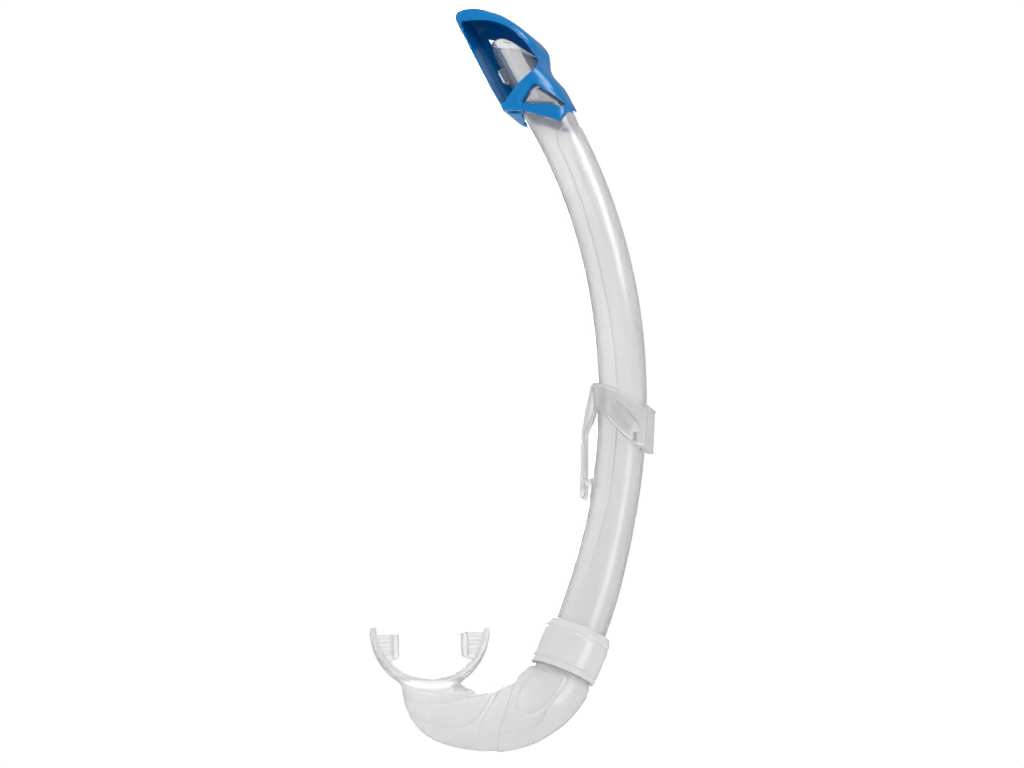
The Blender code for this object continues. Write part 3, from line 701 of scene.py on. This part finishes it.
def mouth_field(x, y, z):
    side = np.abs(y)
    across, width, depth = elbow_values(x, z)
    skin = ellipse_distance(across, y, width, depth)
    bore = ellipse_distance(across, y, width - SILICONE_WALL, depth - SILICONE_WALL)
    relief = 0.8 * ridge(LOOP_INNER, x, z, 0.7) + 1.1 * fold(LOOP_OUTER, x, z, 5.0)
    relief = relief + 1.15 * fold(TWIST_NEAR, x, z, 7.0) + 1.0 * fold(TWIST_FAR, x, z, 5.5)
    for line in CHAMBER_LINES:
        relief = relief + 0.6 * ridge(line, x, z, 0.7)
    fade = ramp(np.hypot(x, z), 15, 19) * (1 - 0.6 * ramp(-z, 45, 52))
    skin = skin - relief * fade
    mouth_side = arch_distance(x, z, 1.3)
    tube = meet(skin, -mouth_side, 0.4)
    reach = (x - MOUTH_X) / ARCH_HALF
    half = 13.4 - 4.0 * np.clip(np.abs(reach), 0, 1) ** 3
    sheet = np.abs(arch_distance(x, z, 0.0) + 1.7 * (side / 13.4) ** 2) - 1.15
    tips = z - 14.0 + 0.03 * (x - MOUTH_X)
    shield = meet(meet(sheet, side - half, 1.6), tips, 1.2)
    rim = meet(np.abs(side - half + 1.0) - 0.8, np.maximum(sheet - 0.35, tips), 0.5)
    shield = join(shield, rim, 0.7)
    piece = join(tube, shield, 3.5)
    reach = np.abs(x - MOUTH_X)
    grip = 0.14 * np.cos(z * tau / 2.3) * ramp(side, 0.5, 1.4) * ramp(reach, 28.5, 26.0)
    corner = 0.6 * (reach - 17.4) + 0.8 * (-0.4 - z)
    tab = meet(meet(side - 1.7 - grip, 17.4 - reach, 0.8), np.maximum(z - 12.4, -3.6 - z), 1.4)
    tab = meet(meet(tab, corner - 5.0, 1.0), mouth_side, 0.4)
    tab = meet(tab, 0.75 * (-z - 0.6) - 0.66 * (reach - 18.4), 1.0)
    lug = meet(meet(np.abs(reach - 18.9) - 1.5, side - 5.9, 1.6), np.abs(z - 5.6) - 6.6, 1.8)
    piece = join(join(piece, tab, 1.6), lug, 1.6)
    piece = meet(piece, -bore, 0.6)
    return meet(piece, (x * -sin(COLLAR_ANGLE) + z * cos(COLLAR_ANGLE)) - 7.0, 0.5)


def collar_field(x, y, z):
    radius = np.hypot(x, y)
    body = polygon(COLLAR_PROFILE, radius, z) - 0.3
    body = body + 0.55 * np.exp(-((z - 7.9) / 0.5) ** 2) * ramp(radius, 16.6, 17.4)
    body = body + 0.50 * np.exp(-((z + 9.9) / 0.5) ** 2) * ramp(radius, 16.6, 17.4)
    return body


def make_mouthpiece():
    verts, faces = surface_nets(mouth_field, (-112, -20, -58), (16, 20, 17), 0.6)
    skin = field_object("mouthpiece_moulding", in_frame(verts, COLLAR_ORIGIN, MOUTH_AXES), faces, SILICONE)
    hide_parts("mouthpiece_elbow", "mouth_flange", "bite_tab_left", "bite_tab_right")
    verts, faces = surface_nets(collar_field, (-20, -20, -15), (20, 20, 15), 0.5)
    collar = field_object("collar_sleeve", in_frame(verts, COLLAR_ORIGIN, COLLAR_AXES), faces, MILKY)
    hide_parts("mouthpiece_collar")
    for thing in (skin, collar):
        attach(thing, "mouthpiece")


# Stage: camera, floor, light

CAMERA_AZIMUTH, CAMERA_ELEVATION = radians(22.0), radians(-18.0)
LENS, SENSOR = 600.0, 36.0
FRAME_WIDE = 0.5625
AIM_LEFT, AIM_UP, MID_DEPTH = 0.03245, 0.1460, 0.045
DIFFUSE_DOME = 1.12
GLOSSY_DOME = 0.32
FLOOR_Z, FLOOR_REACH = -3.0, 22.0


def make_camera():
    """Camera at the photo's angle; gives the point it looks at."""
    back = Vector((sin(CAMERA_AZIMUTH) * cos(CAMERA_ELEVATION), -cos(CAMERA_AZIMUTH) * cos(CAMERA_ELEVATION),
                   sin(CAMERA_ELEVATION)))
    right = Vector((cos(CAMERA_AZIMUTH), sin(CAMERA_AZIMUTH), 0))
    up = back.cross(right)
    target = Vector(COLLAR_ORIGIN * MM) - right * AIM_LEFT + up * AIM_UP - back * MID_DEPTH
    data = bpy.data.cameras.new("camera")
    data.lens, data.sensor_width = LENS, SENSOR
    camera = link_object("camera", data)
    camera.location = target + back * (FRAME_WIDE * LENS / SENSOR)
    camera.rotation_mode = "QUATERNION"
    camera.rotation_quaternion = (-back).to_track_quat("-Z", "Y")
    bpy.context.scene.camera = camera
    return target


def make_floor():
    bm = bmesh.new()
    bmesh.ops.create_grid(bm, x_segments=8, y_segments=8, size=FLOOR_REACH)
    mesh = bpy.data.meshes.new("floor")
    bm.to_mesh(mesh)
    bm.free()
    floor = link_object("floor", mesh)
    floor.location.z = FLOOR_Z
    finish = Finish("pale_floor", {"Roughness": 0.9})
    finish.colour(finish.noise(0.8, 3), (0.86, 0.86, 0.86), (0.90, 0.90, 0.90))
    mesh.materials.append(finish.material)


def make_light(name, direction, distance, size, radiance, target):
    """Softbox seen only in reflections."""
    data = bpy.data.lights.new(name, "AREA")
    data.shape, data.size, data.size_y = "RECTANGLE", size[0], size[1]
    data.energy = radiance * pi * size[0] * size[1]
    light = link_object(name, data)
    direction = Vector(direction).normalized()
    light.location = target + direction * distance
    light.rotation_mode = "QUATERNION"
    light.rotation_quaternion = (-direction).to_track_quat("-Z", "Y")
    light.visible_camera = light.visible_diffuse = light.visible_transmission = False


def make_world():
    """White to look at; for lighting, bright behind and above the object and grey on the camera's side."""
    world = bpy.data.worlds.new("studio")
    bpy.context.scene.world = world
    world.use_nodes = True
    nodes, links = world.node_tree.nodes, world.node_tree.links
    place = nodes.new("ShaderNodeTexCoord")
    terms = []
    for axis, low, high, first, last in (((-0.356, 0.882, 0.309), -0.35, 0.90, 0.42, 1.0),
                                         ((0.12, -0.29, 0.95), -0.9, 0.9, 0.72, 1.12)):
        toward = nodes.new("ShaderNodeVectorMath")
        toward.operation = "DOT_PRODUCT"
        toward.inputs[1].default_value = axis
        links.new(place.outputs["Generated"], toward.inputs[0])
        span = nodes.new("ShaderNodeMapRange")
        span.interpolation_type = "SMOOTHSTEP"
        set_range(span, low, high, first, last)
        links.new(toward.outputs["Value"], span.inputs["Value"])
        terms.append(span.outputs["Result"])
    dome = nodes.new("ShaderNodeMath")
    dome.operation = "MULTIPLY"
    links.new(terms[0], dome.inputs[0])
    links.new(terms[1], dome.inputs[1])
    rays = nodes.new("ShaderNodeLightPath")
    dim = nodes.new("ShaderNodeMath")
    dim.operation = "MULTIPLY"
    dim.inputs[1].default_value = GLOSSY_DOME
    links.new(dome.outputs[0], dim.inputs[0])
    strength = dim.outputs[0]
    for flag, value in (("Is Transmission Ray", dome.outputs[0]), ("Is Diffuse Ray", DIFFUSE_DOME),
                        ("Is Camera Ray", 1.0)):
        pick = nodes.new("ShaderNodeMix")
        links.new(rays.outputs[flag], pick.inputs["Factor"])
        links.new(strength, pick.inputs["A"])
        if isinstance(value, float):
            pick.inputs["B"].default_value = value
        else:
            links.new(value, pick.inputs["B"])
        strength = pick.outputs["Result"]
    background = nodes["Background"]
    background.inputs["Color"].default_value = (1, 1, 1, 1)
    links.new(strength, background.inputs["Strength"])


def make_stage():
    target = make_camera()
    make_floor()
    make_light("key_strip", (0.59, -0.18, 0.79), 1.6, (0.6, 1.1), 13, target)
    make_light("hair_strip", (-0.42, 0.70, 0.58), 1.6, (0.5, 1.1), 14, target)
    make_light("side_panel", (0.95, -0.25, -0.19), 1.7, (0.7, 1.5), 6, target)
    make_light("front_fill", (-0.60, -0.75, 0.30), 1.8, (0.12, 1.2), 5, target)
    make_world()
    bpy.context.scene.view_settings.view_transform = "Standard"


make_guard()
make_barrel()
make_keeper()
make_mouthpiece()
make_stage()
